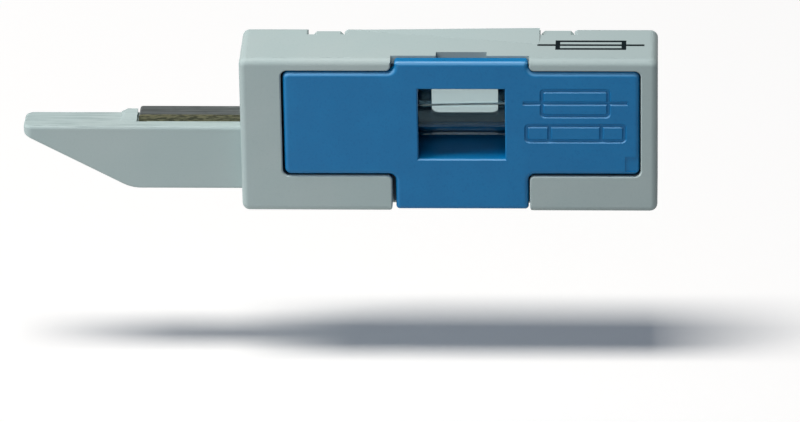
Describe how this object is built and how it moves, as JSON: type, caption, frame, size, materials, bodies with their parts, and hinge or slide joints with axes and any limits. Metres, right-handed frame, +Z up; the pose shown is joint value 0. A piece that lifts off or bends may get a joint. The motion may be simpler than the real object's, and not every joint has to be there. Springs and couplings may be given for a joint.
{
  "type": "plug-in fuse holder module",
  "caption": "Slim plastic module with a side plug blade and a drawer that holds a cartridge fuse behind a sight window.",
  "frame": {"origin": "centre of the housing's bottom face, which the part can stand on", "axes": "+X away from the plug blade along the module, +Y through the thickness from the carrier to the cover, +Z up"},
  "size_m": [0.0504, 0.0063, 0.0134],
  "materials": {
    "grey_plastic": "fine satin",
    "blue_plastic": "fine satin",
    "contact_metal": "plated and tarnished",
    "fuse_glass": "clear",
    "plated_cap": "nickel plated",
    "fuse_wire": "drawn wire",
    "solder": "dull"
  },
  "bodies": {
    "base": {"housing": "grey_plastic", "rear_cover": "grey_plastic", "upper_contact": "contact_metal", "lower_contact": "contact_metal"},
    "carrier": {"fuse_carrier": "blue_plastic", "fuse_tube": "fuse_glass", "fuse_cap_left": "plated_cap", "fuse_cap_right": "plated_cap", "fuse_wire": "fuse_wire", "solder_left": "solder", "solder_right": "solder"}
  },
  "joints": [
    {"name": "carrier_slide", "type": "slide", "parent": "base", "child": "carrier", "axis": [0, -1, 0], "range_m": [0, 0.008]}
  ]
}
